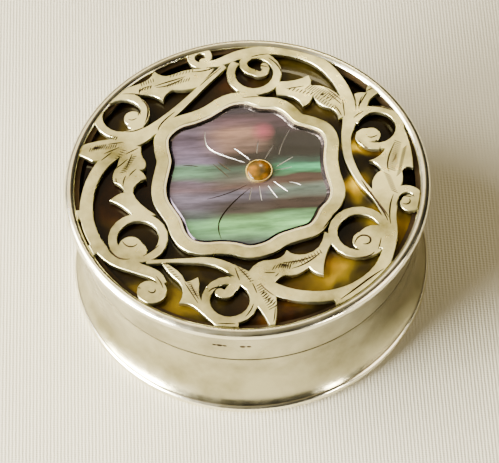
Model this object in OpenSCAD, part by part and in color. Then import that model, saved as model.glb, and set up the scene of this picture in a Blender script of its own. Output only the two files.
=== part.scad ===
// Round silver pill box with a lift-off lid.
// The lid's top is pierced scroll fretwork over tortoiseshell, round a lobed frame that holds a
// pearl-shell plaque. Z is up, the origin is under the middle of the box, and the front is -Y.

/* [Box] */
// Radius of the foot, the box's widest part
foot_r = 24.1; // [23.9:0.05:24.4]
// Height of the foot's wire ring
foot_h = 1.6; // [1.3:0.05:1.8]
// Radius of the waist, the box's narrowest part
waist_r = 22.35; // [22.3:0.05:22.5]
// Height of the waist
waist_z = 8.5; // [8.2:0.1:9]
// Height of the line where the lid meets the box
parting_z = 11; // [10.6:0.1:11.4]
// Thickness of the base plate
base_t = 0.8; // [0.6:0.05:0.9]

/* [Lip] */
// Outer radius of the upright lip that the lid slips over
lip_r = 21.68; // [21.6:0.01:21.7]
// Thickness of the lip
lip_t = 0.6; // [0.5:0.05:0.8]
// Height of the lip's top edge
lip_top = 14.5; // [13.5:0.1:15]
// Radial clearance between lip and lid
fit_gap = 0.05; // [0.02:0.01:0.08]
// Gap between the lid's lower edge and the box
seat_gap = 0.1; // [0.08:0.01:0.15]

/* [Lid] */
// Radius of the rim's rounded moulding
rim_r = 24; // [23.9:0.05:24.1]
// Height of the rim's crest
rim_top = 19.1; // [19.05:0.01:19.2]
// Radius of the bore that holds the lid's inlay
bore_r = 22.6; // [22.5:0.02:22.64]
// Thickness of the backing plate
backing_t = 0.8; // [0.6:0.05:0.9]
// Thickness of the tortoiseshell
shell_t = 1.25; // [1.2:0.01:1.3]
// Gap between tortoiseshell and fretwork
spacer_t = 0.3; // [0.25:0.01:0.35]
// Thickness of the fretwork
fret_t = 0.65; // [0.6:0.01:0.7]

/* [Plaque] */
// Width of the flat frame round the plaque
frame_w = 1.6; // [1.4:0.05:1.8]
// Thickness of the bezel wall round the plaque
bezel_t = 0.3; // [0.25:0.01:0.35]
// Thickness of the pearl-shell plaque
plaque_t = 0.55; // [0.5:0.01:0.6]
// Radius of the cabochon in the middle of the flower
stone_r = 1.5; // [1.3:0.05:1.6]
// Width of the collet's rim round the cabochon
collet_w = 0.25; // [0.2:0.01:0.3]

/* [Hidden] */
$fn = 128;

silver = "#d9d2c0";
amber = "#b0701c";
tortoiseshell = "#5a3510";
pearl = "#9fb0a2";

// The band of the box is hollow-sided: a wide arc above the waist, and a quick flare at the foot.
wall_arc = 16.5;
wall_t = 0.7;
foot_flare = 1.52;
flare_power = 3.6;
wall_steps = 24;
lip_bottom = 7.5;

// The lid's band flares upwards from its lower edge on a wider arc.
lid_bottom = parting_z + seat_gap;
lid_arc = 30;
lid_arc_x = 22.5 + lid_arc;
lid_arc_z = 10.5;
lid_bore_r = lip_r + fit_gap;

// The foot and the rim are half-round wires.
foot_bead = foot_h / 2;
rim_bead = 0.8;
rim_bottom = 17.2;
rim_inner_z = 18.8;
base_z = 0.6;
base_r = 22.6;

// The layers in the lid, from the bottom up.
backing_z = 16;
shell_z = backing_z + backing_t;
shell_top = shell_z + shell_t;
fret_z = shell_top + spacer_t;
fret_top = fret_z + fret_t;
spacer_w = 0.6;

// The stone and its collet at the centre of the flower.
stud_at = [1.65, 1.67];
peg_r = 0.6;
collet_z = shell_top + plaque_t;
collet_floor = 0.1;
collet_h = 0.35;
stone_rise = 0.7;

// Small stamped marks on the front of the lid's band, each one [angle, radius].
mark_z = 14.6;
mark_depth = 0.08;
marks = [[-13.4, 0.3], [-11.7, 0.42], [-10, 0.3], [-4.2, 0.4], [-2.2, 0.32]];

// Scroll stems, each a curve of [x, y, width].
stems = [
    [[-2.2, 19.4, 0.7], [-5, 16.5, 0.8], [-8, 13.2, 1], [-11, 10.3, 1.4], [-13.5, 8.3, 1.9],
     [-16.4, 6.3, 1.7], [-19, 3.8, 1.6], [-20.6, 0.2, 1.6], [-21, -4, 1.7], [-19.9, -8.2, 1.6],
     [-17.6, -11.2, 1.6], [-14.4, -12.8, 1.6], [-12.2, -14, 1.4], [-11.4, -15.4, 1.1]],
    [[17.9, -7.4, 0.7], [16.6, -3.8, 0.8], [14.7, -0.7, 0.9], [13.5, 3, 1.1], [13.4, 6.3, 1.3],
     [14, 9, 1.8], [14.1, 12, 1.7], [13, 15.7, 1.6], [10.8, 19, 1.6], [7.6, 21, 1.6],
     [3.7, 21.7, 1.5], [0, 21.2, 1.5], [-3, 20, 1.3], [-4.9, 19.7, 1]],
    [[-13.4, -11.9, 0.6], [-9.2, -11.9, 0.7], [-5, -12.3, 1.1], [-2, -14, 1.5], [1.2, -16.2, 1.8],
     [5.2, -18.1, 1.7], [9.8, -18.5, 1.6], [14, -17, 1.7], [16.8, -14, 1.6], [18.1, -10, 1.6],
     [18.3, -6.5, 1.5], [18.9, -4, 1.2]]
];

// Volutes and, last, the small curls at the stems' ends. Each is a ring that closes in a hook:
// [ring centre, ring radius, start angle, ring turn, hook turn, hook centre, hook radius,
//  ring width, hook width].
volutes = [
    [[-16.1, 11.85], 3.25, -35, -290, -105, [-14.9, 11.4], 0.75, 1.15, 1.6],
    [[17.5, 7.65], 3.1, 160, -250, -190, [16.7, 6.1], 0.6, 1.1, 1.9],
    [[-2.95, -18.35], 3.1, 86, -313, -270, [-3.6, -16.6], 0.8, 1.1, 1.3],
    [[1.75, 17.85], 3.15, 140, 295, 325, [2.5, 18.5], 0.85, 1.15, 1],
    [[-14.4, -8.1], 3.3, -96, 322, 305, [-15.4, -9.3], 0.95, 1.15, 1.1],
    [[14.05, -9], 3.4, 8, 307, 285, [14.6, -10.4], 0.9, 1.2, 1.2],
    [[-5.4, 21], 1.25, -60, -240, -150, [-5.1, 20.9], 0.5, 1, 0.9],
    [[20.55, -4.15], 1.6, 185, -200, -160, [20.9, -4.7], 0.6, 1.1, 1.3],
    [[-12.8, -16.35], 1.35, 70, -270, -160, [-12.7, -16.4], 0.5, 1.1, 1]
];
hook_blend = 150;

// Round drops that fill the hooks, each one [x, y, radius].
drops = [[-14.7, 11.3, 1.2], [16.9, 6.4, 1.05], [-15.2, -9.5, 1.3], [15.1, -10.3, 1.5],
         [-12.7, -16.4, 0.9], [20.8, -4.5, 0.95]];

// Leaf outlines: corners and, between each two, the control point of the curve that joins them.
big_leaves = [
    [[-3.6, 19], [-6.5, 19.6], [-9.4, 18.3], [-10.7, 17.8], [-11.7, 19.1], [-12, 17.6],
     [-14.2, 16.9], [-16.2, 16.4], [-17.2, 15], [-15.4, 15.6], [-13.4, 15.2], [-11.7, 15.2],
     [-10.6, 13.9], [-10.3, 15.5], [-9.3, 15.8], [-7.2, 15.3], [-5.9, 16.1], [-4.8, 17.2]],
    [[-11.6, -11.8], [-10.7, -13.9], [-9.4, -15.1], [-8.3, -16.6], [-9.4, -18.5], [-8.2, -18.3],
     [-7.2, -19.4], [-6, -20.8], [-4.8, -22.2], [-4.6, -21], [-5.9, -19.8], [-6.9, -18],
     [-6.8, -16.6], [-6.6, -15.4], [-6.9, -14.6], [-7.8, -15.3], [-8.5, -15.2], [-8.9, -13.4]],
    [[17.6, -6.6], [16, -3], [16.3, -1.2], [16.7, 0.2], [17.6, 0.6], [17.4, 1.8],
     [16.1, 2.3], [17.9, 2.6], [18.6, 4.7], [20, 4.4], [21, 7.6], [22, 4],
     [21.8, 0.8], [20.8, 1.3], [20.3, 0.4], [20.6, -1.6], [19.5, -2.6], [18.6, -4.6]]
];
outer_leaves = [
    [[-15, 8.2], [-18, 8.2], [-20.6, 7.6], [-22, 7.2], [-22.7, 6], [-21.4, 5.6],
     [-20.2, 4.6], [-17.6, 4.6], [-15.4, 6.4], [-14.6, 7]],
    [[-0.4, -15], [-0.4, -17.6], [0.5, -19.6], [1.4, -21], [2, -22.9], [2.7, -22.9],
     [2.6, -22.3], [3.1, -20.2], [2.9, -17.9], [1.5, -17]],
    [[14.7, 9.4], [15.2, 11.4], [14.9, 13.4], [15.8, 13.8], [16.6, 13.5], [16.4, 14.4],
     [17.3, 15.2], [18.2, 14.7], [18.6, 13.7], [17.3, 13.1], [16.8, 12.1], [16.6, 10.6]]
];
inner_leaves = [
    [[-15.9, 6.2], [-16.8, 4.8], [-16.9, 3.6], [-17.9, 2], [-17.3, 0.9], [-16.3, 0.5],
     [-16, -0.7], [-17, -0.9], [-18, -1.9], [-16.4, -2.6], [-14.9, -4.6], [-13.6, -5],
     [-12, -4.6], [-14.5, -2.6], [-14.9, -0.9], [-14.9, 1], [-13.1, 1.3], [-13.3, 2.2],
     [-14, 2.7], [-12.8, 3], [-13.2, 4.2], [-13.9, 5.1], [-13.7, 6.6], [-14.8, 6.8]],
    [[13.5, 12.4], [11.8, 15.4], [9.2, 15.3], [9.4, 16.1], [9, 17], [7.4, 16],
     [5, 16.2], [4.2, 15.2], [4.7, 13.9], [7.3, 14], [8, 11.8], [9.2, 12.4],
     [9.4, 13.6], [9.9, 11.8], [11.3, 11.4], [12.6, 11], [12.6, 9.4], [13.6, 9.6]],
    [[-0.4, -14.2], [0.7, -12.4], [2.4, -12.6], [4.2, -12.6], [4.6, -11.2], [5.3, -12.2],
     [7, -12], [9.2, -11.6], [9.6, -8.7], [10.6, -9], [10.4, -10.4], [9.2, -12.6],
     [9.1, -15.3], [8, -15.1], [7.3, -14], [5.6, -15.4], [4.2, -15.1], [3.4, -15.2],
     [2.9, -16], [1.4, -15.4]]
];

// Tabs that tie the scrolls to the rim, each one [x, y, width, length, angle].
tabs = [[-22.1, -3.9, 1.4, 1.4, 8], [-20.5, -9.6, 1.6, 1.6, 26], [-3.4, -22.1, 2.8, 1.6, 0],
        [22, 8.6, 1.6, 2, 15]];

// The web that fills the space between the lower right stem and the rim.
web = [[10, -18.6], [10.5, -19.2], [10.4, -21], [13, -20], [16, -17], [18, -15], [18.6, -13.6],
       [17.6, -14.2], [17.2, -13.2], [15, -16]];

// The lobed frame's inner edge.
frame_points = [
    [-2, 12.8], [0.2, 13.1], [2.2, 12.2], [4.2, 11.9], [5.6, 10.9], [6.8, 9.3], [8.6, 8.5],
    [10.2, 7.5], [10.8, 5.9], [10.6, 4], [10.5, 2.2], [10.7, 0.2], [11.1, -2], [10.7, -3.7],
    [9.6, -5], [8.9, -6.4], [7.9, -7.6], [6, -8.2], [3.9, -8.9], [2.2, -10], [0, -10.5],
    [-1.9, -9.9], [-3.8, -9.6], [-5.9, -9.6], [-7.6, -9], [-8.6, -7.5], [-9.1, -5.6],
    [-9.9, -4], [-10.7, -2.3], [-10.9, -0.3], [-10.5, 1.9], [-10.1, 4], [-10.4, 6.2],
    [-10.2, 8], [-8.6, 9.6], [-6.4, 10.3], [-4.4, 11.2]
];

// How finely the curves are drawn: steps between points, and degrees along a volute.
frame_steps = 3;
stem_steps = 4;
leaf_steps = 4;
volute_step = 18;

// Gaps and points narrower than these are closed up or rounded off in the pierced plate.
hairline = 0.08;
sliver = 0.06;

// A point on the smooth curve through b and c, with a and d as its neighbours.
function blend_point(a, b, c, d, t) =
    0.5 * (2 * b + (c - a) * t + (2 * a - 5 * b + 4 * c - d) * t * t
        + (3 * b - a - 3 * c + d) * t * t * t);

// A smooth open curve through the points p.
function open_curve(p, n) = [
    for (i = [0 : len(p) - 2], k = [0 : n - 1])
        blend_point(p[max(i - 1, 0)], p[i], p[i + 1], p[min(i + 2, len(p) - 1)], k / n),
    p[len(p) - 1]
];

// A smooth closed curve through the points p.
function closed_curve(p, n) = [
    for (i = [0 : len(p) - 1], k = [0 : n - 1])
        blend_point(p[(i + len(p) - 1) % len(p)], p[i], p[(i + 1) % len(p)],
            p[(i + 2) % len(p)], k / n)
];

// A closed outline whose odd points are corners and whose even points are control points.
function leaf_curve(p, n) = [
    for (i = [0 : 2 : len(p) - 2], k = [0 : n - 1])
        let (t = k / n, a = p[i], b = p[i + 1], c = p[(i + 2) % len(p)])
        a * (1 - t) * (1 - t) + 2 * b * t * (1 - t) + c * t * t
];

// The two edges of a strip along the path q of [x, y, width].
function strip_side(q, side) = [
    for (i = [0 : len(q) - 1])
        let (d = q[min(i + 1, len(q) - 1)] - q[max(i - 1, 0)], h = norm([d.x, d.y]))
        [q[i].x - side * d.y / h * q[i].z / 2, q[i].y + side * d.x / h * q[i].z / 2]
];
function reversed(p) = [for (i = [len(p) - 1 : -1 : 0]) p[i]];

module strip(q) {
    polygon(concat(strip_side(q, 1), reversed(strip_side(q, -1))));
}

// A scroll strip that runs round its ring, closes in a hook and ends in a round drop.
module volute(v) {
    turn = v[3] + v[4];
    steps = ceil(abs(turn) / volute_step);
    hook_start = floor(steps * v[3] / turn);
    path = [
        for (i = [0 : steps])
            let (a = turn * i / steps,
                 s = min(max(abs(a) - abs(v[3]), 0) / hook_blend, 1), u = s * s * (3 - 2 * s),
                 c = v[0] + (v[5] - v[0]) * u, r = v[1] + (v[6] - v[1]) * u)
            [c.x + r * cos(v[2] + a), c.y + r * sin(v[2] + a), v[7] + (v[8] - v[7]) * u]
    ];
    strip([for (i = [0 : hook_start]) path[i]]);
    strip([for (i = [hook_start : steps]) path[i]]);
    end = path[steps];
    translate([end.x, end.y]) circle(d = end.z, $fn = 16);
}

module frame_opening() {
    polygon(closed_curve(frame_points, frame_steps));
}

// Everything that is left of the plate once it is pierced.
module scrollwork() {
    for (s = stems) strip(open_curve(s, stem_steps));
    for (v = volutes) volute(v);
    for (d = drops) translate([d[0], d[1]]) circle(r = d[2], $fn = 24);
    for (l = concat(big_leaves, outer_leaves, inner_leaves, [web])) polygon(leaf_curve(l, leaf_steps));
    for (t = tabs) translate([t[0], t[1]]) rotate(t[4]) square([t[2], t[3]], center = true);
    offset(r = frame_w, $fn = 24) frame_opening();
}

module ring(outer, inner, height) {
    difference() {
        cylinder(r = outer, h = height);
        translate([0, 0, -1]) cylinder(r = inner, h = height + 2);
    }
}

// The section of a round wire, cut off flat at the radius inner.
module half_wire(x, z, bead, inner) {
    intersection() {
        translate([x, z]) circle(r = bead);
        translate([inner, z - bead]) square(2 * bead);
    }
}

module foot_rim() {
    color(silver) rotate_extrude() {
        half_wire(foot_r - foot_bead, foot_bead, foot_bead, base_r);
        translate([base_r, 0]) square([foot_r - foot_bead - base_r, foot_h]);
    }
}

module base_plate() {
    color(silver) translate([0, 0, base_z]) cylinder(r = base_r, h = base_t);
}

// The outer radius of the box's band at height z.
function wall_r(z) = z > waist_z
    ? waist_r + wall_arc - sqrt(pow(wall_arc, 2) - pow(z - waist_z, 2))
    : waist_r + foot_flare * pow((waist_z - z) / (waist_z - foot_h), flare_power);

module body_wall() {
    outside = [for (i = [0 : wall_steps]) let (z = foot_h + (parting_z - foot_h) * i / wall_steps)
        [wall_r(z), z]];
    inside = [for (i = [0 : wall_steps]) let (z = lip_bottom + (foot_h - lip_bottom) * i / wall_steps)
        [max(lip_r, wall_r(z) - wall_t), z]];
    color(silver) rotate_extrude() polygon(concat(outside, [[lip_r, parting_z]], inside));
}

module inner_lip() {
    edge = 0.15;
    color(silver) rotate_extrude() polygon([
        [lip_r - lip_t, lip_bottom], [lip_r, lip_bottom], [lip_r, lip_top - edge],
        [lip_r - edge, lip_top], [lip_r - lip_t + edge, lip_top], [lip_r - lip_t, lip_top - edge]
    ]);
}

module lid_wall() {
    color(silver) difference() {
        rotate_extrude() difference() {
            union() {
                translate([lid_bore_r, lid_bottom]) square([3, backing_z - lid_bottom]);
                translate([bore_r, backing_z]) square([3, rim_bottom - backing_z]);
            }
            translate([lid_arc_x, lid_arc_z]) circle(r = lid_arc, $fn = 256);
        }
        band_r = lid_arc_x - sqrt(pow(lid_arc, 2) - pow(mark_z - lid_arc_z, 2));
        for (m = marks) rotate(m[0] - 90) translate([band_r - mark_depth, 0, mark_z])
            rotate([0, 90, 0]) cylinder(r = m[1], h = 2, $fn = 24);
    }
}

module lid_rim() {
    bead_x = rim_r - rim_bead;
    color(silver) rotate_extrude() {
        half_wire(bead_x, rim_top - rim_bead, rim_bead, bore_r);
        polygon([[bore_r, rim_bottom], [bead_x, rim_bottom], [bead_x, rim_top],
                 [bore_r, rim_inner_z]]);
    }
}

module backing_plate() {
    color(silver) translate([0, 0, backing_z]) cylinder(r = bore_r, h = backing_t);
}

module tortoiseshell_disc() {
    color(tortoiseshell) translate([0, 0, shell_z]) cylinder(r = bore_r, h = shell_t);
}

module spacer_ring() {
    color(silver) translate([0, 0, shell_top]) ring(bore_r, bore_r - spacer_w, spacer_t);
}

module fretwork() {
    color(silver) translate([0, 0, fret_z]) linear_extrude(fret_t)
        offset(delta = sliver) offset(delta = -sliver - hairline) offset(delta = hairline) difference() {
            intersection() {
                scrollwork();
                circle(r = bore_r, $fn = 96);
            }
            frame_opening();
        }
}

module plaque_bezel() {
    color(silver) translate([0, 0, shell_top]) linear_extrude(spacer_t + fret_t - 0.1)
        offset(delta = 0) difference() {
            frame_opening();
            offset(delta = -bezel_t) frame_opening();
        }
}

module pearl_plaque() {
    color(pearl) difference() {
        translate([0, 0, shell_top]) linear_extrude(plaque_t)
            offset(delta = -bezel_t) frame_opening();
        translate([stud_at.x, stud_at.y, shell_top - 1]) cylinder(r = peg_r, h = 3);
    }
}

module stud_collet() {
    color(silver) translate([stud_at.x, stud_at.y, 0]) {
        translate([0, 0, shell_top]) cylinder(r = peg_r, h = plaque_t);
        translate([0, 0, collet_z]) cylinder(r = stone_r + collet_w, h = collet_floor);
        translate([0, 0, collet_z]) ring(stone_r + collet_w, stone_r, collet_h);
    }
}

module flower_stud() {
    dome = (pow(stone_r, 2) + pow(stone_rise, 2)) / (2 * stone_rise);
    color(amber) translate([stud_at.x, stud_at.y, collet_z + collet_floor]) intersection() {
        cylinder(r = stone_r, h = stone_rise);
        translate([0, 0, stone_rise - dome + 0.02]) sphere(r = dome);
    }
}

foot_rim();
base_plate();
body_wall();
inner_lip();
lid_wall();
lid_rim();
backing_plate();
tortoiseshell_disc();
spacer_ring();
fretwork();
plaque_bezel();
pearl_plaque();
stud_collet();
flower_stud();
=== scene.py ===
"""A round silver pill box: fretwork lid over tortoiseshell, with a carved pearl-shell plaque."""
import math

import bmesh
import bpy
from mathutils import Matrix, Vector, noise


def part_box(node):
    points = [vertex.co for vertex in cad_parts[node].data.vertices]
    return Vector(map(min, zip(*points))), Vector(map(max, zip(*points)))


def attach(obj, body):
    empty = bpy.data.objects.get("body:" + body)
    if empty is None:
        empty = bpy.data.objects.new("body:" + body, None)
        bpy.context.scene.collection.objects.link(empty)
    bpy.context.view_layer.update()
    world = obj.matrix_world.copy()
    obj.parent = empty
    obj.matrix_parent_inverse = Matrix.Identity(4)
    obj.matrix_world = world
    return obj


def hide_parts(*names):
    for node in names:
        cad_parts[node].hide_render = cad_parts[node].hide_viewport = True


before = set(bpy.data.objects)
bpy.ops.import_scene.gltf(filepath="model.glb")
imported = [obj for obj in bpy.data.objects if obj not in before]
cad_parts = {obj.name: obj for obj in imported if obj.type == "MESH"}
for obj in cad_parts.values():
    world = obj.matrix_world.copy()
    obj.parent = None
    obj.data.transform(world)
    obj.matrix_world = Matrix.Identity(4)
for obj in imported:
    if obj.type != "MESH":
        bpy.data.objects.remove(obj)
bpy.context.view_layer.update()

MM = 0.001
SPIN_STEPS = 224


# ---------------------------------------------------------------- node materials

def colour(code):
    """An sRGB hex value as linear RGBA."""
    parts = [int(code[i:i + 2], 16) / 255 for i in (1, 3, 5)]
    linear = [c / 12.92 if c <= 0.04045 else ((c + 0.055) / 1.055) ** 2.4 for c in parts]
    return (*linear, 1.0)


def add_node(tree, kind, settings=None, links=None):
    """Adds a node; settings name its properties or inputs, links name the sockets its inputs read."""
    node = tree.nodes.new(kind)
    for key, value in (settings or {}).items():
        if isinstance(key, str) and hasattr(node, key):
            setattr(node, key, value)
        else:
            node.inputs[key].default_value = value
    for key, socket in (links or {}).items():
        tree.links.new(socket, node.inputs[key])
    return node


def ramp(tree, socket, stops):
    """A colour ramp over socket, with stops of (position, hex value)."""
    node = add_node(tree, "ShaderNodeValToRGB", {}, {"Fac": socket})
    points = node.color_ramp.elements
    while len(points) < len(stops):
        points.new(1.0)
    for point, (position, code) in zip(points, stops):
        point.position = position
        point.color = colour(code)
    return node.outputs["Color"]


def per_mm(size):
    """The texture scale at which one cell is size millimetres across."""
    return 1 / (size * MM)


def new_material(name, settings):
    made = bpy.data.materials.new(name)
    made.use_nodes = True
    tree = made.node_tree
    shader = tree.nodes["Principled BSDF"]
    for key, value in settings.items():
        shader.inputs[key].default_value = value
    place = add_node(tree, "ShaderNodeTexCoord").outputs["Object"]
    return made, tree, shader, place


def worn_metal(name, light, dull, rough_low, rough_high, dent=0.03, scratch=0.004, creases=()):
    """A soft metal polished by hand for a century: cloudy tarnished tone, fine scratches, faint dents, and
    darker bands at the crease heights, painted shade over tarnished silver.
    """
    made, tree, shader, place = new_material(name, {"Metallic": 1.0})
    cloud = add_node(tree, "ShaderNodeTexNoise", {"Scale": per_mm(7), "Detail": 6, "Roughness": 0.6},
                     {"Vector": place}).outputs["Fac"]
    tint = ramp(tree, cloud, [(0.3, dull), (0.62, light)])
    height = add_node(tree, "ShaderNodeSeparateXYZ", {}, {"Vector": place}).outputs["Z"]
    for middle, spread in creases:
        # Darker bands in the angles at these heights: painted shade, over tarnished silver that a polishing
        # cloth can't reach.
        off = add_node(tree, "ShaderNodeMath", {"operation": "SUBTRACT", 1: middle * MM}, {0: height})
        near = add_node(tree, "ShaderNodeMath", {"operation": "ABSOLUTE"}, {0: off.outputs[0]}).outputs[0]
        ragged = add_node(tree, "ShaderNodeMath", {"operation": "MULTIPLY_ADD", 1: -spread * MM},
                          {0: cloud, 2: near}).outputs[0]
        crease_tarnish_and_shade = add_node(tree, "ShaderNodeMapRange", {
            "From Min": spread * MM * 0.5, "From Max": -spread * MM * 0.4, "To Max": 0.8},
            {"Value": ragged}).outputs["Result"]
        tint = add_node(tree, "ShaderNodeMix", {"data_type": "RGBA", 7: colour("#3a2f20")},
                        {"Factor": crease_tarnish_and_shade, 6: tint}).outputs[2]
    tree.links.new(tint, shader.inputs["Base Color"])
    haze = add_node(tree, "ShaderNodeTexNoise", {"Scale": per_mm(2.2), "Detail": 5}, {"Vector": place})
    rough = add_node(tree, "ShaderNodeMapRange", {"From Min": 0.3, "From Max": 0.7, "To Min": rough_low,
                     "To Max": rough_high}, {"Value": haze.outputs["Fac"]})
    tree.links.new(rough.outputs["Result"], shader.inputs["Roughness"])
    # Scratches are drawn about 0.25 mm apart, coarser than the real ones, so that they show.
    along = add_node(tree, "ShaderNodeMapping", {"Rotation": (0.3, 0.2, 0.5), "Scale": (1, 9, 3)},
                     {"Vector": place}).outputs["Vector"]
    lines = add_node(tree, "ShaderNodeTexNoise", {"Scale": per_mm(2.5), "Detail": 8, "Roughness": 0.7},
                     {"Vector": along}).outputs["Fac"]
    dents = add_node(tree, "ShaderNodeTexNoise", {"Scale": per_mm(4), "Detail": 2},
                     {"Vector": place}).outputs["Fac"]
    scored = add_node(tree, "ShaderNodeBump", {"Strength": 1.0, "Distance": scratch * MM},
                      {"Height": lines}).outputs["Normal"]
    dented = add_node(tree, "ShaderNodeBump", {"Strength": 1.0, "Distance": dent * MM},
                      {"Height": dents, "Normal": scored}).outputs["Normal"]
    tree.links.new(dented, shader.inputs["Normal"])
    return made


# Sterling silver, rolled and hand-polished: warm white, with soft blurred reflections. The darker bands
# under the rim, at the lid's seam and above the foot are painted shade over tarnished silver.
silver = worn_metal("sterling_silver", "#bab494", "#857e5c", 0.14, 0.26, dent=0.05, scratch=0.003,
                    creases=[(17.25, 0.6), (11.05, 0.2), (1.6, 0.35)])
# Wires and edges that hands and tables rub: brighter than the bands. On the plaque's bezel this brighter
# silver is a painted highlight.
rubbed_and_highlight_silver = worn_metal("rubbed_and_highlight_silver", "#f4efd6", "#ddd6b4", 0.14, 0.26, dent=0.03, scratch=0.002)
# The fretwork's top was stoned flat by hand, so it is duller than the turned bands.
stoned_silver = worn_metal("stoned_silver", "#dfd9a6", "#7a7446", 0.24, 0.42, dent=0.06, scratch=0.006)
# Old polish and sulphide left in the engraver's cuts: nearly black. On the spacer ring the same near-black
# is painted shade in the gaps under the fretwork.
tarnish_and_painted_shade = worn_metal("tarnished_cut_and_painted_shade", "#3c3020", "#18120b", 0.5, 0.7)
# Fire gilding inside the box: warm yellow, a little rubbed.
gilding = worn_metal("fire_gilding", "#f0da92", "#d8bd6a", 0.24, 0.4)


# About the height of the shell's top, in millimetres.
SHELL_Z = 18.0
# Where the shell is lighter, as x, y, radius in millimetres and how much lighter it is there: clear shell
# over the gold foil, except the patch at 8, 20, which is a painted highlight along the shell's top-right
# edge.
CLEAR_AND_HIGHLIGHT_PATCHES = [(15, 5, 5, 0.85), (13.4, -2, 4.5, 0.75), (8.5, -14.5, 7, 0.42), (18, -8, 7, 0.3),
                 (13, -16, 7, 0.3), (-16.5, 10, 5, 0.2), (-11, -18, 9, 0.24), (-19, -2, 6, 0.1),
                 (8, 20, 7, 0.24), (3, -21, 5, 0.1), (-15, -6, 5, 0.1), (2, 17, 5, 0.1)]

# Where the shell is red-brown rather than olive, in the same form.
RUDDY_PATCHES = [(-18, 1, 11, 1.4), (3, -21, 8, 1.4), (20, 3, 7, 1), (-2, 18, 8, 1), (9, -13, 5, 0.8)]


def patched(tree, place, patches, value):
    """Adds soft round patches, as x, y, radius and strength, to a value."""
    for x, y, radius, strength in patches:
        away = add_node(tree, "ShaderNodeVectorMath", {
            "operation": "DISTANCE", 1: (x * MM, y * MM, SHELL_Z * MM)}, {0: place}).outputs["Value"]
        patch = add_node(tree, "ShaderNodeMapRange", {
            "interpolation_type": "SMOOTHSTEP", "From Min": radius * MM, "From Max": 0, "To Max": strength},
            {"Value": away}).outputs["Result"]
        value = add_node(tree, "ShaderNodeMath", {}, {0: value, 1: patch}).outputs[0]
    return value


def tortoiseshell_material():
    """Hawksbill shell, heat-pressed and polished over gold foil: dark cloudy mottles in glowing amber."""
    made, tree, shader, place = new_material("hawksbill_shell", {
        "Roughness": 0.12, "IOR": 1.4, "Specular IOR Level": 0.04, "Coat Weight": 0.12,
        "Coat Roughness": 0.03})
    drift = add_node(tree, "ShaderNodeTexNoise", {"Scale": per_mm(9), "Detail": 3}, {"Vector": place})
    centred = add_node(tree, "ShaderNodeVectorMath", {"operation": "SUBTRACT", 1: (0.5, 0.5, 0.5)},
                       {0: drift.outputs["Color"]}).outputs["Vector"]
    bent_place = add_node(tree, "ShaderNodeVectorMath", {"operation": "MULTIPLY_ADD", 1: (0.012, 0.012, 0)},
                          {0: centred, 2: place}).outputs["Vector"]
    mottle = add_node(tree, "ShaderNodeTexNoise", {"Scale": per_mm(11), "Detail": 4, "Roughness": 0.45},
                      {"Vector": bent_place}).outputs["Fac"]
    # The shell glows where it is thin and clear, most of all on the right; the patch at its top-right edge
    # is a painted highlight.
    dim = add_node(tree, "ShaderNodeMath", {"operation": "SUBTRACT", 1: 0.22}, {0: mottle})
    light = patched(tree, bent_place, CLEAR_AND_HIGHLIGHT_PATCHES, dim.outputs[0])
    olive = ramp(tree, light, [(0.2, "#060301"), (0.36, "#171004"), (0.46, "#332a08"),
                                          (0.58, "#5f4c08"), (0.76, "#a8840a"), (1.0, "#eccb24")])
    ruddy = ramp(tree, light, [(0.2, "#050201"), (0.36, "#160a03"), (0.46, "#2c1705"),
                                          (0.58, "#553708"), (0.76, "#9c700c"), (1.0, "#ecc024")])
    warm = add_node(tree, "ShaderNodeMath", {"operation": "SUBTRACT", 1: 0.5}, {0: mottle})
    share = patched(tree, bent_place, RUDDY_PATCHES, warm.outputs[0])
    hue = add_node(tree, "ShaderNodeMix", {"data_type": "RGBA"}, {"Factor": share, 6: olive, 7: ruddy})
    tree.links.new(hue.outputs[2], shader.inputs["Base Color"])
    glow = add_node(tree, "ShaderNodeMapRange", {"From Min": 0.55, "From Max": 1.0, "To Max": 0.4},
                    {"Value": light})
    tree.links.new(glow.outputs["Result"], shader.inputs["Metallic"])
    return made


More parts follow.
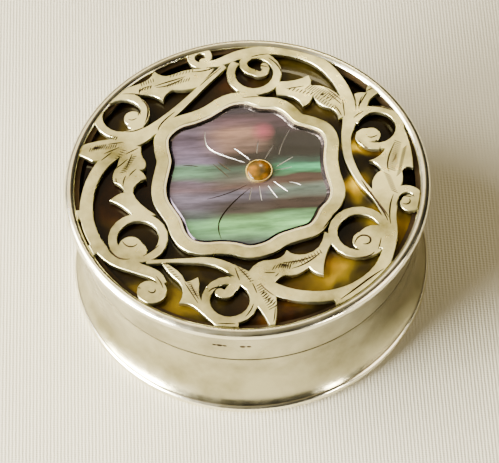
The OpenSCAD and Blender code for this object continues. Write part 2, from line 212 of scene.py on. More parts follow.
def pearl_material():
    """Black-lip pearl shell, carved and polished: bands of mauve, rose, grey and green under gloss."""
    made, tree, shader, place = new_material("black_lip_pearl", {
        "Roughness": 0.26, "IOR": 1.45, "Specular IOR Level": 0.32, "Coat Weight": 0.12,
        "Coat Roughness": 0.05})
    stretched = add_node(tree, "ShaderNodeMapping", {"Rotation": (0, 0, 0.06), "Scale": (0.3, 1, 1)},
                         {"Vector": place}).outputs["Vector"]
    waves = add_node(tree, "ShaderNodeTexNoise", {"Scale": per_mm(5), "Detail": 3, "Roughness": 0.5},
                     {"Vector": stretched}).outputs["Fac"]
    axes = add_node(tree, "ShaderNodeSeparateXYZ", {}, {"Vector": place}).outputs
    up = add_node(tree, "ShaderNodeMapRange", {"From Min": -0.0115, "From Max": 0.0125},
                  {"Value": axes["Y"]})
    shaken = add_node(tree, "ShaderNodeMath", {"operation": "MULTIPLY_ADD", 1: 0.17},
                      {0: waves, 2: up.outputs["Result"]}).outputs[0]
    banded = add_node(tree, "ShaderNodeMath", {"operation": "SUBTRACT", 1: 0.085}, {0: shaken}).outputs[0]
    left = ramp(tree, banded, [(0.08, "#3a4440"), (0.13, "#3f5f42"), (0.22, "#48704a"), (0.27, "#3a4442"),
                               (0.33, "#3d3841"), (0.4, "#544c59"), (0.46, "#4a3a40"), (0.5, "#453b45"),
                               (0.54, "#3f5c46"), (0.6, "#44614c"), (0.64, "#5a5062"), (0.72, "#574a5a"),
                               (0.8, "#3a2f3c"), (0.86, "#4a3f4a"), (0.92, "#1d1720")])
    middle = ramp(tree, banded, [(0.08, "#3a4440"), (0.14, "#4a7048"), (0.23, "#56854f"), (0.29, "#2a2420"),
                                 (0.34, "#211a1a"), (0.42, "#4a4550"), (0.47, "#4a3733"), (0.52, "#3a3a33"),
                                 (0.58, "#2b3a30"), (0.62, "#17120f"), (0.67, "#1a1311"), (0.73, "#523f37"),
                                 (0.83, "#644a3d"), (0.88, "#3f2c33"), (0.93, "#1d1720")])
    right = ramp(tree, banded, [(0.1, "#4c6b4a"), (0.2, "#649a5c"), (0.26, "#4a7048"), (0.3, "#1a110e"),
                                (0.36, "#2a1f1c"), (0.42, "#48554c"), (0.47, "#35261f"), (0.52, "#2e201c"),
                                (0.56, "#358a5c"), (0.61, "#223830"), (0.66, "#0d0c0d"), (0.8, "#151215"),
                                (0.9, "#2a1c24"), (0.94, "#1d1720")])
    inward = add_node(tree, "ShaderNodeMapRange", {"From Min": -0.007, "From Max": -0.002,
                      "interpolation_type": "SMOOTHSTEP"}, {"Value": axes["X"]}).outputs["Result"]
    across = add_node(tree, "ShaderNodeMapRange", {"From Min": 0.0015, "From Max": 0.0045,
                      "interpolation_type": "SMOOTHSTEP"}, {"Value": axes["X"]}).outputs["Result"]
    inner = add_node(tree, "ShaderNodeMix", {"data_type": "RGBA"}, {"Factor": inward, 6: left, 7: middle})
    mixed = add_node(tree, "ShaderNodeMix", {"data_type": "RGBA"},
                     {"Factor": across, 6: inner.outputs[2], 7: right}).outputs[2]
    away = add_node(tree, "ShaderNodeVectorMath", {"operation": "DISTANCE", 1: (0.0024, 0.0082, 0.0186)},
                    {0: place}).outputs["Value"]
    flush = add_node(tree, "ShaderNodeMapRange", {"From Min": 0.0018, "From Max": 0.0002, "To Max": 0.7},
                     {"Value": away}).outputs["Result"]
    rosy = add_node(tree, "ShaderNodeMix", {"data_type": "RGBA", 7: colour("#74283c")},
                    {"Factor": flush, 6: mixed}).outputs[2]
    fine = add_node(tree, "ShaderNodeMapping", {"Rotation": (0, 0, 0.05), "Scale": (0.16, 1, 1)},
                    {"Vector": place}).outputs["Vector"]
    streaks = add_node(tree, "ShaderNodeTexNoise", {"Scale": per_mm(1.1), "Detail": 5, "Roughness": 0.65},
                       {"Vector": fine}).outputs["Fac"]
    depth = add_node(tree, "ShaderNodeMapRange", {"From Min": 0.3, "From Max": 0.7, "To Min": 0.35,
                     "To Max": 1.4}, {"Value": streaks}).outputs["Result"]
    streaked = add_node(tree, "ShaderNodeVectorMath", {"operation": "SCALE"}, {0: rosy, "Scale": depth})
    tree.links.new(streaked.outputs["Vector"], shader.inputs["Base Color"])
    return made


def amber_material():
    """A polished amber-coloured cabochon: olive brown at one side and honey at the other."""
    made, tree, shader, place = new_material("amber", {
        "Roughness": 0.15, "IOR": 1.5, "Specular IOR Level": 0.25, "Coat Weight": 0.15,
        "Coat Roughness": 0.04})
    clouds = add_node(tree, "ShaderNodeTexNoise", {"Scale": per_mm(1.6), "Detail": 4}, {"Vector": place})
    tree.links.new(ramp(tree, clouds.outputs["Fac"], [(0.3, "#241c06"), (0.5, "#4a3206"), (0.7, "#7a4c0a")]),
                   shader.inputs["Base Color"])
    return made


tortoiseshell = tortoiseshell_material()
pearl = pearl_material()
amber = amber_material()
# Painted shade on the plaque's bevel: a dark, glossy purple-grey.
painted_shade_pearl_bevel = worn_metal("painted_shade_pearl_bevel", "#5d5560", "#2d2831", 0.16, 0.3, dent=0.05)
# The graver leaves the pearl shell's cuts matt and pale.
cut_pearl = worn_metal("cut_pearl", "#c4c0ba", "#8c8782", 0.35, 0.5)


# ---------------------------------------------------------------- mesh tools

def arc(centre_r, centre_z, radius, start, end, count):
    """Points on a circle of the profile's plane, in millimetres, from one angle in degrees to another."""
    turns = [math.radians(start + (end - start) * i / count) for i in range(count + 1)]
    return [(centre_r + radius * math.cos(t), centre_z + radius * math.sin(t)) for t in turns]


def softened(profile, edge):
    """The closed profile with each sharp corner rounded over edge millimetres."""
    out = []
    for i, point in enumerate(profile):
        here = Vector(point)
        back = Vector(profile[i - 1]) - here
        ahead = Vector(profile[(i + 1) % len(profile)]) - here
        if back.angle(ahead) > math.radians(150):
            out.append(here)
            continue
        reach = min(edge, back.length / 3, ahead.length / 3)
        start, end = here + back.normalized() * reach, here + ahead.normalized() * reach
        out += [start, start * 0.25 + here * 0.5 + end * 0.25, end]
    return out


def lathe(profile, edge=0.12, wobble=0.02):
    """A ring turned from a closed profile of (radius, height), a little uneven as hand-raised silver is."""
    bm = bmesh.new()
    points = softened(profile, edge) if edge else [Vector(p) for p in profile]
    ring = [bm.verts.new((p.x * MM, 0, p.y * MM)) for p in points]
    edges = [bm.edges.new((a, b)) for a, b in zip(ring, ring[1:] + ring[:1])]
    bmesh.ops.spin(bm, geom=ring + edges, axis=(0, 0, 1), cent=(0, 0, 0), angle=math.tau,
                   steps=SPIN_STEPS, use_merge=True)
    bmesh.ops.remove_doubles(bm, verts=bm.verts, dist=1e-7)
    bmesh.ops.recalc_face_normals(bm, faces=bm.faces)
    for vert in bm.verts:
        outward = Vector((vert.co.x, vert.co.y, 0))
        if outward.length > MM:
            shift = (noise.noise(vert.co * per_mm(9)) - 1) / 2 * wobble * MM
            vert.co += outward.normalized() * shift
    return bm


def crease_edges(piece, angle):
    """Shades piece smooth, apart from level faces and edges that turn by more than angle degrees."""
    piece.data.set_sharp_from_angle(angle=math.radians(angle))
    for face in piece.data.polygons:
        face.use_smooth = abs(face.normal.z) < 0.9999


def add_piece(name, bm, body, materials, replaced, crease=32):
    """Makes the bmesh a piece that rides on body and stands for the CAD node called replaced."""
    mesh = bpy.data.meshes.new(name)
    bm.to_mesh(mesh)
    bm.free()
    for made in materials:
        mesh.materials.append(made)
    piece = bpy.data.objects.new(name, mesh)
    crease_edges(piece, crease)
    bpy.context.scene.collection.objects.link(piece)
    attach(piece, body)
    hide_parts(replaced)
    return piece


def gild_inside(bm):
    """Gives material 1 to the faces that look towards the box's axis."""
    for face in bm.faces:
        middle = face.calc_center_median()
        outward = Vector((middle.x, middle.y, 0))
        if face.normal.dot(outward.normalized()) < -0.2:
            face.material_index = 1


def cad_copy(node):
    """A merged copy of a CAD node's mesh, with its flat faces made whole."""
    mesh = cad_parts[node].data.copy()
    mesh.attributes.remove(mesh.attributes["custom_normal"])
    bm = bmesh.new()
    bm.from_mesh(mesh)
    bpy.data.meshes.remove(mesh)
    bmesh.ops.remove_doubles(bm, verts=bm.verts, dist=2e-7)
    return bm


def chamfer_top(bm, top, width, drop):
    """Leans in the upper edge of a flat plate, width millimetres over the last drop millimetres."""
    bmesh.ops.bisect_plane(bm, geom=bm.verts[:] + bm.edges[:] + bm.faces[:], dist=1e-7,
                           plane_co=(0, 0, (top - drop) * MM), plane_no=(0, 0, 1))
    for vert in [v for v in bm.verts if abs(v.co.z - top * MM) < 1e-6]:
        sides = [f.normal for f in vert.link_faces if abs(f.normal.z) < 0.5]
        if sides:
            lean = sum(sides, Vector()).normalized()
            vert.co -= lean * (width * MM / max(0.6, min(lean.dot(side) for side in sides)))
    bm.normal_update()


def far_apart(line, others, gap):
    """Whether no point along line comes within gap millimetres of the other lines."""
    def dense(points):
        return [Vector(a).lerp(Vector(b), k / 6) for a, b in zip(points, points[1:]) for k in range(7)]
    return all((p - q).length > gap for other in others for p in dense(line) for q in dense(other))


def grouped(lines, gap):
    """The lines in groups inside which none cross, because each group is cut in one pass."""
    groups = []
    for line in lines:
        group = next((g for g in groups if far_apart(line, g, gap)), None)
        if group is None:
            group = []
            groups.append(group)
        group.append(line)
    return groups


def cut_solid(piece, cutter, finish):
    """Takes cutter's shape out of piece and leaves finish on the cut faces."""
    bm = bmesh.new()
    bm.from_mesh(cutter.data)
    bmesh.ops.remove_doubles(bm, verts=bm.verts, dist=1e-7)
    bmesh.ops.recalc_face_normals(bm, faces=bm.faces)
    bm.to_mesh(cutter.data)
    bm.free()
    cutter.data.materials.clear()
    cutter.data.materials.append(finish)
    step = piece.modifiers.new("cut", "BOOLEAN")
    step.operation = "DIFFERENCE"
    step.solver = "MANIFOLD"
    step.material_mode = "TRANSFER"
    step.object = cutter
    graph = bpy.context.evaluated_depsgraph_get()
    cut = bpy.data.meshes.new_from_object(piece.evaluated_get(graph))
    piece.modifiers.clear()
    piece.data = cut
    bpy.data.objects.remove(cutter)


def cut_lines(piece, lines, top, width, finish):
    """Cuts tapering V grooves into piece along lines of (x, y) points, at height top, in millimetres."""
    for group in grouped(lines, width * 1.5):
        curve = bpy.data.curves.new("graver", "CURVE")
        curve.dimensions = "3D"
        curve.bevel_depth = width / 2 * MM
        curve.bevel_resolution = 0
        curve.use_fill_caps = True
        curve.resolution_u = 4
        for line in group:
            spline = curve.splines.new("NURBS")
            spline.points.add(len(line) - 1)
            spline.order_u = min(4, len(line))
            spline.use_endpoint_u = True
            for i, (x, y) in enumerate(line):
                spline.points[i].co = (x * MM, y * MM, top * MM, 1)
                spline.points[i].radius = 0.3 if i in (0, len(line) - 1) else 1.0
        drawn = bpy.data.objects.new("graver", curve)
        bpy.context.scene.collection.objects.link(drawn)
        solid = bpy.data.meshes.new_from_object(drawn.evaluated_get(bpy.context.evaluated_depsgraph_get()))
        bpy.data.objects.remove(drawn)
        cutter = bpy.data.objects.new("graver", solid)
        bpy.context.scene.collection.objects.link(cutter)
        cut_solid(piece, cutter, finish)


def strokes(start, end, lean, count):
    """Parallel engraved strokes from start to end, each one lean long."""
    a, b, d = Vector(start), Vector(end), Vector(lean)
    feet = [a.lerp(b, i / (count - 1)) for i in range(count)]
    return [[tuple(foot), tuple(foot + d / 2), tuple(foot + d)] for foot in feet]


# ---------------------------------------------------------------- sizes taken from the CAD nodes

def level(node, end):
    """A CAD node's lowest (0) or highest (1) height, in millimetres."""
    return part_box(node)[end].z / MM


def reach(node):
    """A CAD node's largest radius, in millimetres."""
    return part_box(node)[1].x / MM


foot_top = level("foot_rim", 1)
foot_r = reach("foot_rim")
base_r = reach("base_plate")
wall_top = level("body_wall", 1)
lip_r = reach("inner_lip")
lip_bottom = level("inner_lip", 0)
lip_top = level("inner_lip", 1)
lid_bottom = level("lid_wall", 0)
lid_top = level("lid_wall", 1)
backing_bottom = level("backing_plate", 0)
inlay_r = reach("backing_plate")
rim_r = reach("lid_rim")
rim_top = level("lid_rim", 1)
fret_top = level("fretwork", 1)
plaque_top = level("pearl_plaque", 1)

# The shapes of the bands, in millimetres, which the nodes' boxes don't give.
WAIST_R = 22.35
WAIST_Z = 8.5
WALL_ARC = 16.5
WALL = 0.7
FLARE = 1.52
FLARE_POWER = 3.6
LIP = 0.6
SLIP_GAP = 0.05
LID_ARC = 30.0
LID_ARC_R = 52.5
LID_ARC_Z = 10.5
BEAD = 0.8
# How the shell's polished edge falls away: radius, and drop below the top.
SHELL_EDGE = [(19.4, 0), (20.2, 0.04), (21, 0.14), (21.8, 0.32), (inlay_r, 0.6)]
# The stamped marks' height, and each one's angle round from the front and its radius.
MARK_Z = 14.6
MARKS = [(-13.4, 0.3), (-11.7, 0.42), (-10, 0.3), (-4.2, 0.4), (-2.2, 0.32)]


def on_arc(centre_z, radius, height):
    """The angle in degrees at which a hollow arc of the profile is at height."""
    return 180 - math.degrees(math.asin((height - centre_z) / radius))


# ---------------------------------------------------------------- the box

def foot_rim():
    half = foot_top / 2
    profile = arc(foot_r - half, half, half, -90, 90, 14) + [(base_r, foot_top), (base_r, 0)]
    add_piece("foot_wire", lathe(profile, 0.1), "box", [rubbed_and_highlight_silver], "foot_rim")


def base_plate():
    low, high = level("base_plate", 0), level("base_plate", 1)
    bm = bmesh.new()
    bmesh.ops.create_cone(bm, cap_ends=True, segments=SPIN_STEPS, radius1=base_r * MM, radius2=base_r * MM,
                          depth=(high - low) * MM, matrix=Matrix.Translation((0, 0, (low + high) / 2 * MM)))
    for face in bm.faces:
        face.material_index = 1 if face.normal.z > 0.5 else 0
    add_piece("base_disc", bm, "box", [silver, gilding], "base_plate")


def wall_radius(height):
    """The band's outer radius: a wide arc above the waist, and a quick flare at the foot."""
    if height > WAIST_Z:
        return WAIST_R + WALL_ARC - math.sqrt(WALL_ARC ** 2 - (height - WAIST_Z) ** 2)
    return WAIST_R + FLARE * ((WAIST_Z - height) / (WAIST_Z - foot_top)) ** FLARE_POWER


def body_wall():
    outer = [(wall_radius(z), z) for z in (foot_top + (wall_top - foot_top) * i / 44 for i in range(45))]
    inner = [(max(lip_r, wall_radius(z) - WALL), z)
             for z in (lip_bottom + (foot_top - lip_bottom) * i / 20 for i in range(21))]
    bm = lathe(outer + [(lip_r, wall_top)] + inner, 0.14)
    gild_inside(bm)
    add_piece("body_band", bm, "box", [silver, gilding], "body_wall")


def inner_lip():
    profile = [(lip_r - LIP, lip_bottom), (lip_r, lip_bottom), (lip_r, lip_top), (lip_r - LIP, lip_top)]
    bm = lathe(profile, 0.15)
    gild_inside(bm)
    add_piece("lip_band", bm, "box", [silver, gilding], "inner_lip")


# ---------------------------------------------------------------- the lid

def lid_wall():
    outer = arc(LID_ARC_R, LID_ARC_Z, LID_ARC, on_arc(LID_ARC_Z, LID_ARC, lid_bottom),
                on_arc(LID_ARC_Z, LID_ARC, lid_top), 30)
    bore = lip_r + SLIP_GAP
    profile = outer + [(inlay_r, lid_top), (inlay_r, backing_bottom), (bore, backing_bottom),
                       (bore, lid_bottom)]
    bm = lathe(profile, 0.14, wobble=0.012)
    gild_inside(bm)
    piece = add_piece("lid_band", bm, "lid", [silver, gilding], "lid_wall")
    band_r = LID_ARC_R - math.sqrt(LID_ARC ** 2 - (MARK_Z - LID_ARC_Z) ** 2)
    punch = bmesh.new()
    for angle, size in MARKS:
        turn = Matrix.Rotation(math.radians(angle - 90), 4, "Z")
        place = turn @ Matrix.Translation((band_r * MM, 0, MARK_Z * MM))
        bmesh.ops.create_uvsphere(punch, u_segments=16, v_segments=10, radius=size * MM,
                                  matrix=place @ Matrix.Diagonal((0.3, 1, 0.8, 1)))
    mesh = bpy.data.meshes.new("punch")
    punch.to_mesh(mesh)
    punch.free()
    cutter = bpy.data.objects.new("punch", mesh)
    bpy.context.scene.collection.objects.link(cutter)
    cut_solid(piece, cutter, tarnish_and_painted_shade)
    crease_edges(piece, 32)


def lid_rim():
    bead_r = rim_r - BEAD
    profile = arc(bead_r, rim_top - BEAD, BEAD, -78, 96, 22) + [
        (inlay_r + 0.12, rim_top - 0.24), (inlay_r, rim_top - 0.4), (inlay_r, lid_top), (bead_r, lid_top)]
    add_piece("rim_wire", lathe(profile, 0.08, wobble=0.03), "lid", [rubbed_and_highlight_silver], "lid_rim")


def tortoiseshell_disc():
    low, high = level("tortoiseshell_disc", 0), level("tortoiseshell_disc", 1)
    edge = [(radius, high - drop) for radius, drop in SHELL_EDGE]
    bm = lathe([(0, high), *edge, (inlay_r, low), (0, low)], 0, wobble=0)
    add_piece("shell_disc", bm, "lid", [tortoiseshell], "tortoiseshell_disc", crease=50)


def flower_stud():
    low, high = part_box("flower_stud")
    middle = (low + high) / 2
    radius, base, top = (high.x - low.x) / 2 / MM, low.z / MM, high.z / MM
    seat, overhang = base + 0.3, 0.12
    crown = [((radius + overhang) * math.cos(t), seat + (top - seat) * math.sin(t))
             for t in (math.radians(i * 7.5) for i in range(13))]
    bm = lathe([(0, base), (radius, base), (radius, seat)] + crown, 0, wobble=0)
    bmesh.ops.translate(bm, verts=bm.verts, vec=(middle.x, middle.y, 0))
    add_piece("cabochon", bm, "lid", [amber], "flower_stud", crease=60)


# The engraver's lines on the scrolls, each one points of (x, y) in millimetres.
CURL_LINES = [
    [(-7, 21.9), (-6, 22.2), (-5, 22.4)], [(-7, 21.4), (-7.1, 21.1), (-7, 20.8)],
    [(-6.6, 18.6), (-5.1, 18.6), (-4.2, 18.8), (-3, 19.3)],
    [(20, -3.7), (20.6, -3.7), (21.3, -4)], [(19.2, -5.3), (19.2, -4.5), (19.8, -3.7)],
    [(-12.2, -14.2), (-11.5, -15.2), (-11.4, -16)],
    [(-13.3, -16.3), (-12.8, -17), (-12.2, -16.6), (-12.4, -16.1)],
    [(20, -4.9), (20.6, -5.3), (21.2, -4.8), (20.9, -4.2)], [(-15.3, 11.2), (-14.8, 10.8), (-14.2, 11.3)],
    [(16.2, 6.2), (16.9, 5.8), (17.5, 6.4)],
]
LEFT_LEAF_LINES = [
    [(-11.7, 16.5), (-10.4, 17), (-9.1, 17.3), (-7.5, 17.9)],
    [(-11.5, 16.3), (-10.1, 16.2), (-8.6, 17), (-7.8, 17.6)],
    [(-13.8, 15.4), (-13.7, 16.3), (-12.2, 16.6)], [(-16, 15.5), (-14.4, 15.5), (-12.8, 15)],
    [(-2.7, 19), (-4.6, 17.3), (-5.6, 16.2)], *strokes((-13.8, 15.7), (-12.3, 16.1), (0.2, 0.6), 5),
]
LEFT_RING_LINES = [
    [(-13.6, 14.6), (-12.8, 13.6), (-12.5, 12.5), (-12.8, 11.2), (-13.1, 10.4)],
    [(-13.8, 13.1), (-13.8, 12.3), (-14, 11.7)], [(-15.7, 9.1), (-14.7, 9), (-13.8, 9.4), (-13, 9.8)],
    [(-9.1, 12), (-10.4, 10.9), (-11.4, 9.8), (-11.4, 9)],
    *strokes((-17.9, 8.1), (-17.1, 7.8), (0.3, 0.6), 4),
]
LEFT_SPRAY_LINES = [
    [(-18.1, 7.2), (-17.1, 7.3), (-16, 7.4)], [(-18.6, 5.7), (-17.6, 6.1), (-16.6, 6.6)],
    [(-19, 4.6), (-18.1, 5.4), (-17.6, 5.8)], *strokes((-20, 6.4), (-18.6, 6.6), (0.3, 0.7), 6),
    [(-15.8, 5.4), (-14.9, 5.9), (-14.1, 6.3)], [(-15.7, 3.2), (-15.3, 4.3), (-14.9, 5.4)],
    [(-17.3, 3), (-16.3, 3.8), (-15.5, 4.6)], [(-14.4, 2.9), (-15, 2.4), (-15.4, 1.8)],
    [(-15.8, 1.9), (-16.2, 1.1), (-16.2, 0.2)], [(-17.1, 1.6), (-17.1, 1), (-16.9, 0.5)],
]
TOP_RING_LINES = [
    [(6.2, 22.1), (8.3, 21.4), (9.9, 20.6), (11.5, 20)], [(1.4, 20.6), (2.4, 21), (3.8, 21)],
    [(3.8, 20.3), (4.8, 19.5), (5.3, 18.6), (5.4, 17.6)],
    [(1.9, 18.1), (2.1, 19), (2.6, 19.3), (3.7, 18.7)], [(0, 13.8), (1.5, 13.85), (2.9, 13.8)],
]
TOP_SPRAY_LINES = [
    [(6, 14.9), (7, 15), (8.3, 15.2)], *strokes((6.2, 14.6), (9, 13.6), (0.5, 0.5), 7),
    *strokes((10.4, 13.4), (11.4, 12.4), (0.5, 0.4), 4), [(11.5, 13.8), (12.3, 12.8), (13.1, 11.8)],
    [(11.2, 14.7), (12.6, 13.3), (13.1, 12.5)], [(12.2, 11.7), (12.8, 10.7), (13, 9.9)],
    [(13.3, 12.5), (13.4, 11.5), (13.4, 9.8)], [(14.9, 13.6), (15, 12.2), (15, 10.7)],
    [(16, 13), (15.5, 12.2), (15.4, 10.9)], [(16.6, 13.8), (17.1, 14.1), (17.6, 14.2)],
]
RIGHT_RING_LINES = [
    [(16.8, 11.2), (18.1, 11.2), (19.2, 10.7), (20, 10.2)], [(21, 10.1), (21.4, 9.1), (21.8, 8)],
    [(14.6, 9.4), (15.2, 10.1), (16, 10.4)], [(17.1, 5.5), (17.6, 5.5), (18.2, 5.3)],
    [(14.2, 6.7), (14.4, 7.2), (14.9, 7.8)], [(15, 5.6), (15.5, 4.6), (16.2, 4), (17.6, 3.8)],
    [(12.6, 5.9), (12.5, 4), (12.8, 2.1)], [(19.7, 5), (18.9, 3.4), (18.2, 1.6), (18.6, 0.3)],
    [(19.8, 3.2), (19.6, 2.5), (19.2, 1.9)],
]
LOWER_LEFT_LINES = [
    [(-22.2, -3.9), (-21.6, -6.4), (-20.4, -9.3)],
    [(-18.6, -8), (-18.4, -9.4), (-17.6, -10.6), (-16.6, -11.4), (-15.5, -11.3)],
    [(-17.1, -4.6), (-16, -4.3), (-15, -4.2)], [(-11.7, -4.6), (-10.9, -5.6), (-10.6, -7)],
    [(-11.7, -9.4), (-12.8, -10.4), (-13.8, -11)], [(-16.4, -8.5), (-16, -9.5), (-15, -9.7), (-14.5, -9)],
]
LOWER_STEM_LINES = [
    [(-13.8, -12.2), (-11.2, -12.2), (-9, -12.7), (-7.2, -12.7)],
    [(-12.8, -11.6), (-9.1, -11.6), (-6.4, -11.5), (-4.8, -11.4), (-2.7, -11.9)],
    [(-11.4, -12.6), (-10.6, -13.9), (-10.1, -14.7)], [(-8.6, -15.4), (-8, -16.6), (-7, -18.6)],
    [(-7.8, -15.7), (-7.4, -17), (-6.9, -18)], [(-5.6, -17), (-5.1, -16.3), (-4.2, -16.2), (-3.7, -16.6)],
    [(-2.1, -13.6), (-1.8, -14.7), (-1.6, -15.5)], [(-1.8, -13.4), (-0.8, -14.6), (-0.2, -15.7)],
    [(-4.6, -21.8), (-3.5, -21.95), (-2.4, -22)], [(-1.1, -21), (-0.3, -20.2), (0, -19.2)],
]
LOWER_RIGHT_LINES = [
    [(9.4, -8.3), (10.2, -7.2), (11, -6.1), (12.3, -5), (12.8, -3.5), (13, -2.4)],
    [(1.6, -14.5), (2.3, -14.6), (3, -14.6)], *strokes((3.5, -13.9), (4.8, -14.2), (0.2, 0.7), 6),
    [(4, -13.1), (5.3, -13.2), (6.9, -13), (8.3, -12.2)],
    [(5.1, -14.1), (6.7, -13.8), (8, -12.8), (9, -11.8)], [(2.9, -15.2), (3.2, -15), (3.4, -14.7)],
    [(10.4, -11.2), (11, -12.2), (12.2, -13), (14.1, -13.1), (15.4, -12.8), (15.8, -12.2)],
    [(13.3, -10.9), (13.7, -9.6), (14.9, -9.4), (15.7, -10.2), (15.2, -11.1), (14.4, -10.9)],
    [(16.8, -10.1), (16.6, -11.2), (16.3, -11.8)],
    [(14.9, -0.8), (15.4, -1.8), (16, -3.2), (17, -5), (17.6, -6.4), (17.9, -7.5)],
    [(16, -2.7), (16.6, -4.5), (17.8, -5.9), (18, -7)],
    [(18.9, -3.4), (18.2, -5), (18.1, -6.4), (18.2, -8)],
    [(16.8, -14.9), (15.4, -15.8), (13.9, -17), (12.5, -18.1), (11, -19.2)],
    *strokes((1, -17.9), (2.6, -19.9), (0.5, 0.6), 7), [(2.7, -20), (2.6, -21.4), (2.4, -22)],
    [(1, -16.2), (1.8, -17.4), (2.7, -18.1)], [(0, -16), (0.3, -16.8), (0.5, -17.6)],
]
# Fine shading strokes that follow the leaves.
SHADING_LINES = [
    *strokes((-13.4, 16.6), (-11.8, 17.2), (-0.1, 0.7), 6),
    *strokes((-10, 16.2), (-7.2, 17), (0.3, 0.7), 9),
    *strokes((-9.6, 17.8), (-6.6, 18.6), (0.2, 0.5), 8),
    *strokes((-20.6, 6.1), (-17.2, 6.5), (0.3, 0.7), 12),
    *strokes((-16.6, 2.4), (-15.2, 4.8), (0.9, 0.2), 9),
    *strokes((-17.2, 4.9), (-16.3, 6.2), (0.7, -0.3), 5),
    *strokes((8.4, 14.6), (12, 12.6), (0.9, 0.8), 14),
    *strokes((9.8, 13.9), (12.4, 11.4), (-0.5, -0.6), 10),
    *strokes((15.3, 11.4), (16.2, 13), (0.5, 0.5), 6),
    *strokes((19.6, 5.4), (18.5, 0.9), (1, -0.6), 16),
    *strokes((21.3, 4.4), (20.2, 0.2), (-0.7, -0.7), 12),
    *strokes((17.9, 0.2), (18.6, -2.6), (0.9, -0.6), 9),
    *strokes((-8.8, -14.6), (-7.6, -17.2), (0.8, -0.3), 9),
    *strokes((-10.8, -12.9), (-9.6, -14.8), (0.5, 0), 6),
    *strokes((2.6, -14.2), (6.4, -13.3), (0.5, 0.8), 11),
    *strokes((6.2, -12.9), (8.8, -11.4), (0.3, -0.7), 8),
    *strokes((0.4, -16.6), (1.9, -20.2), (0.8, 0.5), 12),
    *strokes((-1.6, -14), (-0.4, -15.8), (0.6, 0.2), 6),
]
# The petals and the long stem that are cut into the pearl shell.
PETAL_LINES = [
    [(-5.2, 8.7), (-5.4, 7), (-5, 5.4), (-2.3, 4.3), (-0.2, 3.3)], [(-1.5, 5.7), (-0.5, 4.8), (0.5, 3.7)],
    [(1.8, 6.8), (1.5, 5.7), (1.5, 4.7)], [(3.7, 5.8), (3.1, 4.8), (2.5, 3.7)],
    [(6, 8.3), (4.7, 6), (4.4, 4.3)], [(6.2, 3.8), (5.1, 3.1), (4, 2.4)], [(3.6, 1.8), (5, 1.9), (6, 2.2)],
    [(5.5, -0.2), (6.3, -0.4), (7, -0.8)], [(0.6, -0.8), (0.3, -1.8), (0.2, -2.8)],
    [(1.6, -0.6), (1.6, -1.8), (1.8, -3)], [(2.7, -0.6), (3.2, -1.7), (3.8, -2.6)],
    [(3.5, 0), (4.3, -0.9), (5.2, -1.7)],
]
STEM_LINES = [
    [(-3.7, 3.7), (-2.9, 2.8), (-2, 2)], [(-4.3, 3.3), (-3.3, 2.2), (-2.3, 1)],
    [(-8.3, 3.3), (-7.3, 3.4), (-6.3, 3)], [(0, -0.3), (-2.3, -1.7), (-5.3, -2.3)],
    [(0.3, -0.9), (-1.7, -2.7), (-2.7, -4), (-3.7, -5.3), (-4.2, -7), (-3.7, -8.7)],
]


def fretwork():
    bm = cad_copy("fretwork")
    chamfer_top(bm, fret_top, 0.06, 0.07)
    piece = add_piece("scroll_plate", bm, "lid", [stoned_silver], "fretwork", crease=28)
    lines = (CURL_LINES + LEFT_LEAF_LINES + LEFT_RING_LINES + LEFT_SPRAY_LINES + TOP_RING_LINES
             + TOP_SPRAY_LINES + RIGHT_RING_LINES + LOWER_LEFT_LINES + LOWER_STEM_LINES
             + LOWER_RIGHT_LINES)
    cut_lines(piece, lines, fret_top, 0.28, tarnish_and_painted_shade)
    cut_lines(piece, SHADING_LINES, fret_top, 0.22, tarnish_and_painted_shade)
    crease_edges(piece, 28)


def pearl_plaque():
    bm = cad_copy("pearl_plaque")
    chamfer_top(bm, plaque_top, 0.5, 0.28)
    # Painted shade: the sloping bevel faces get the dark bevel material.
    for face in bm.faces:
        if 0.1 < face.normal.z < 0.95:
            face.material_index = 1
    piece = add_piece("pearl_flower", bm, "lid", [pearl, painted_shade_pearl_bevel], "pearl_plaque")
    cut_lines(piece, PETAL_LINES, plaque_top, 0.22, cut_pearl)
    cut_lines(piece, STEM_LINES, plaque_top, 0.2, tarnish_and_painted_shade)
    crease_edges(piece, 15)


foot_rim()
base_plate()
body_wall()
inner_lip()
lid_wall()
lid_rim()
tortoiseshell_disc()
flower_stud()
fretwork()
pearl_plaque()
# Painted highlight: the plaque's bezel gets the brighter silver.
# Painted shade: the spacer ring, seen through the fretwork's gaps, is coloured near-black.
for node_name, metal in (("backing_plate", gilding), ("spacer_ring", tarnish_and_painted_shade),
                         ("plaque_bezel", rubbed_and_highlight_silver), ("stud_collet", gilding)):
    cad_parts[node_name].data.materials.clear()
    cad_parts[node_name].data.materials.append(metal)


# ---------------------------------------------------------------- stage, lights and camera

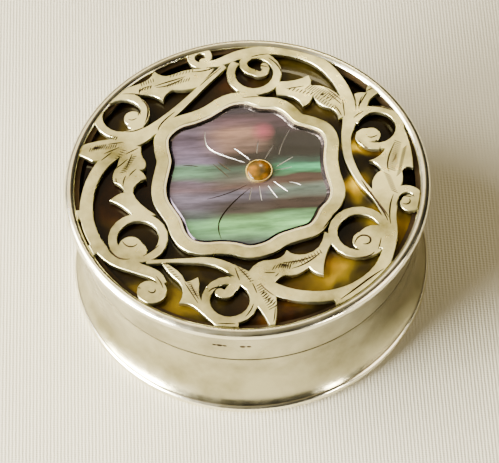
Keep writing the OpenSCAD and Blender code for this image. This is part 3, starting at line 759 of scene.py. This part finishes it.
def floor():
    """A wide sheet of pale ribbed cloth."""
    bm = bmesh.new()
    bmesh.ops.create_grid(bm, x_segments=2, y_segments=2, size=1.5)
    mesh = bpy.data.meshes.new("floor")
    bm.to_mesh(mesh)
    bm.free()
    plane = bpy.data.objects.new("floor", mesh)
    bpy.context.scene.collection.objects.link(plane)
    made, tree, shader, place = new_material("pale_cloth", {"Roughness": 0.85})
    tone = add_node(tree, "ShaderNodeTexNoise", {"Scale": per_mm(60), "Detail": 3}, {"Vector": place})
    ribs = add_node(tree, "ShaderNodeTexWave", {"Scale": per_mm(1.45), "Distortion": 1.2, "Detail": 3,
                    "Detail Scale": 2}, {"Vector": place}).outputs["Fac"]
    threads = add_node(tree, "ShaderNodeTexWave", {"Scale": per_mm(0.9), "Distortion": 3, "Detail": 2,
                       "bands_direction": "Y"}, {"Vector": place}).outputs["Fac"]
    cloth = add_node(tree, "ShaderNodeMath", {"operation": "MULTIPLY_ADD", 1: 0.5}, {0: threads, 2: ribs})
    woven = add_node(tree, "ShaderNodeBump", {"Strength": 0.35, "Distance": 0.08 * MM},
                     {"Height": cloth.outputs[0]})
    tree.links.new(woven.outputs["Normal"], shader.inputs["Normal"])
    tree.links.new(ramp(tree, tone.outputs["Fac"], [(0.3, "#a59f89"), (0.7, "#b2ac97")]),
                   shader.inputs["Base Color"])
    mesh.materials.append(made)


def soft_light(name, place, aim, size, power, code):
    data = bpy.data.lights.new(name, "AREA")
    data.shape = "DISK"
    data.size = size
    data.energy = power
    data.color = colour(code)[:3]
    lamp = bpy.data.objects.new(name, data)
    bpy.context.scene.collection.objects.link(lamp)
    lamp.location = place
    lamp.rotation_euler = (Vector(aim) - Vector(place)).to_track_quat("-Z", "Y").to_euler()


def camera():
    """A long lens from in front and above, a little tilted."""
    elevation, turn, roll = math.radians(55.183), math.radians(0.007), math.radians(-3.093)
    target, distance, lens = Vector((-0.02, -1.78, 10)) * MM, 340.1 * MM, 184.46
    back = Vector((math.sin(turn) * math.cos(elevation), -math.cos(turn) * math.cos(elevation),
                   math.sin(elevation)))
    across = Vector((0, 0, 1)).cross(back).normalized()
    up = back.cross(across)
    right = across * math.cos(roll) + up * math.sin(roll)
    over = up * math.cos(roll) - across * math.sin(roll)
    data = bpy.data.cameras.new("camera")
    data.sensor_fit = "HORIZONTAL"
    data.sensor_width = 36
    data.lens = lens
    data.clip_start = 0.01
    eye = bpy.data.objects.new("camera", data)
    bpy.context.scene.collection.objects.link(eye)
    turned = Matrix((right, over, back)).transposed().to_4x4()
    eye.matrix_world = Matrix.Translation(target + back * distance) @ turned
    bpy.context.scene.camera = eye


def sky():
    """The room: dark behind the camera's right shoulder, and bright to the left and above."""
    world = bpy.data.worlds.new("studio")
    world.use_nodes = True
    bpy.context.scene.world = world
    tree = world.node_tree
    background = tree.nodes["Background"]
    background.inputs["Strength"].default_value = 0.6
    direction = add_node(tree, "ShaderNodeTexCoord").outputs["Generated"]
    towards = add_node(tree, "ShaderNodeVectorMath", {"operation": "DOT_PRODUCT", 1: (-0.8, 0.2, 0.55)},
                       {0: direction}).outputs["Value"]
    bright = add_node(tree, "ShaderNodeMapRange", {"From Min": -1, "From Max": 1}, {"Value": towards})
    tone = ramp(tree, bright.outputs["Result"], [(0.2, "#202224"), (0.5, "#504a40"), (0.72, "#c9bd98"),
                                                 (1.0, "#fff8e6")])
    tree.links.new(tone, background.inputs["Color"])


floor()
soft_light("window", (-0.45, 0.04, 0.36), (0, 0, 0.01), 0.4, 11.0, "#fffaf2")
soft_light("low_window", (-0.34, -0.16, 0.07), (0, 0, 0.01), 0.24, 23.0, "#fffdf6")
soft_light("front_lamp", (0.3, -0.38, 0.06), (0, 0, 0.01), 0.06, 0.9, "#fff8ea")
soft_light("side_card", (0.3, -0.12, 0.12), (0, 0, 0.01), 0.2, 0.6, "#fff0d2")
soft_light("ceiling", (-0.16, 0.44, 0.66), (0, 0, 0.01), 0.8, 2.4, "#ffe9bc")
soft_light("back_lamp", (0.04, 0.35, 0.37), (0, 0, 0.01), 0.05, 0.22, "#fff0c0")
sky()
camera()
